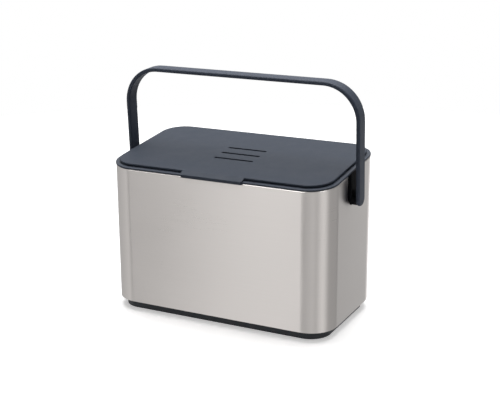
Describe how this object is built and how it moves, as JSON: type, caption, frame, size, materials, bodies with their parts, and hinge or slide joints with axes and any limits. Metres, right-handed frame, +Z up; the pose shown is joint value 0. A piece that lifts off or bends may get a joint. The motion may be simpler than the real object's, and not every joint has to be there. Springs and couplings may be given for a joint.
{
  "type": "compost caddy with hinged lid",
  "caption": "Free-standing steel compost caddy: rounded sleeve on a plinth, lift-out bucket, hinged vented lid with thumb tab, swinging carry handle.",
  "frame": {"origin": "middle of the sleeve's footprint, on the floor", "axes": "+X to the right-hand side, -Y to the front with the thumb tab, +Z up"},
  "size_m": [0.2572, 0.1349, 0.2427],
  "materials": {
    "brushed_sleeve": "brushed stainless steel, fine upright grain",
    "dark_plinth": "matt charcoal plastic",
    "slate_bucket": "matt slate blue-grey plastic",
    "slate_lid": "matt slate blue-grey plastic, fine moulded texture",
    "slate_handle": "satin slate blue-grey plastic",
    "seal_rubber": "soft black rubber",
    "foot_rubber": "soft black rubber",
    "filter_felt": "black carbon felt",
    "pin_steel": "plain drawn steel"
  },
  "bodies": {
    "caddy": {"outer_sleeve": "brushed_sleeve", "base_tray": "dark_plinth", "foot_front_left": "foot_rubber", "foot_front_right": "foot_rubber", "foot_back_left": "foot_rubber", "foot_back_right": "foot_rubber"},
    "bucket": {"inner_bucket": "slate_bucket"},
    "lid": {"lid": "slate_lid", "lid_seal": "seal_rubber", "filter_pad": "filter_felt", "filter_cover": "slate_bucket", "hinge_pin_left": "pin_steel", "hinge_pin_right": "pin_steel"},
    "handle": {"handle": "slate_handle", "pivot_pin_left": "pin_steel", "pivot_pin_right": "pin_steel", "pivot_clip_left": "pin_steel", "pivot_clip_right": "pin_steel"}
  },
  "joints": [
    {"name": "bucket_lift", "type": "slide", "parent": "caddy", "child": "bucket", "axis": [0, 0, 1], "range_m": [0, 0.16]},
    {"name": "lid_hinge", "type": "hinge", "parent": "bucket", "child": "lid", "pos_m": [0, 0.06006, 0.16392], "axis": [-1, 0, 0], "range_deg": [0, 45]},
    {"name": "handle_swing", "type": "hinge", "parent": "bucket", "child": "handle", "pos_m": [0, 0, 0.1297], "axis": [1, 0, 0], "range_deg": [-141, 135.5]}
  ]
}
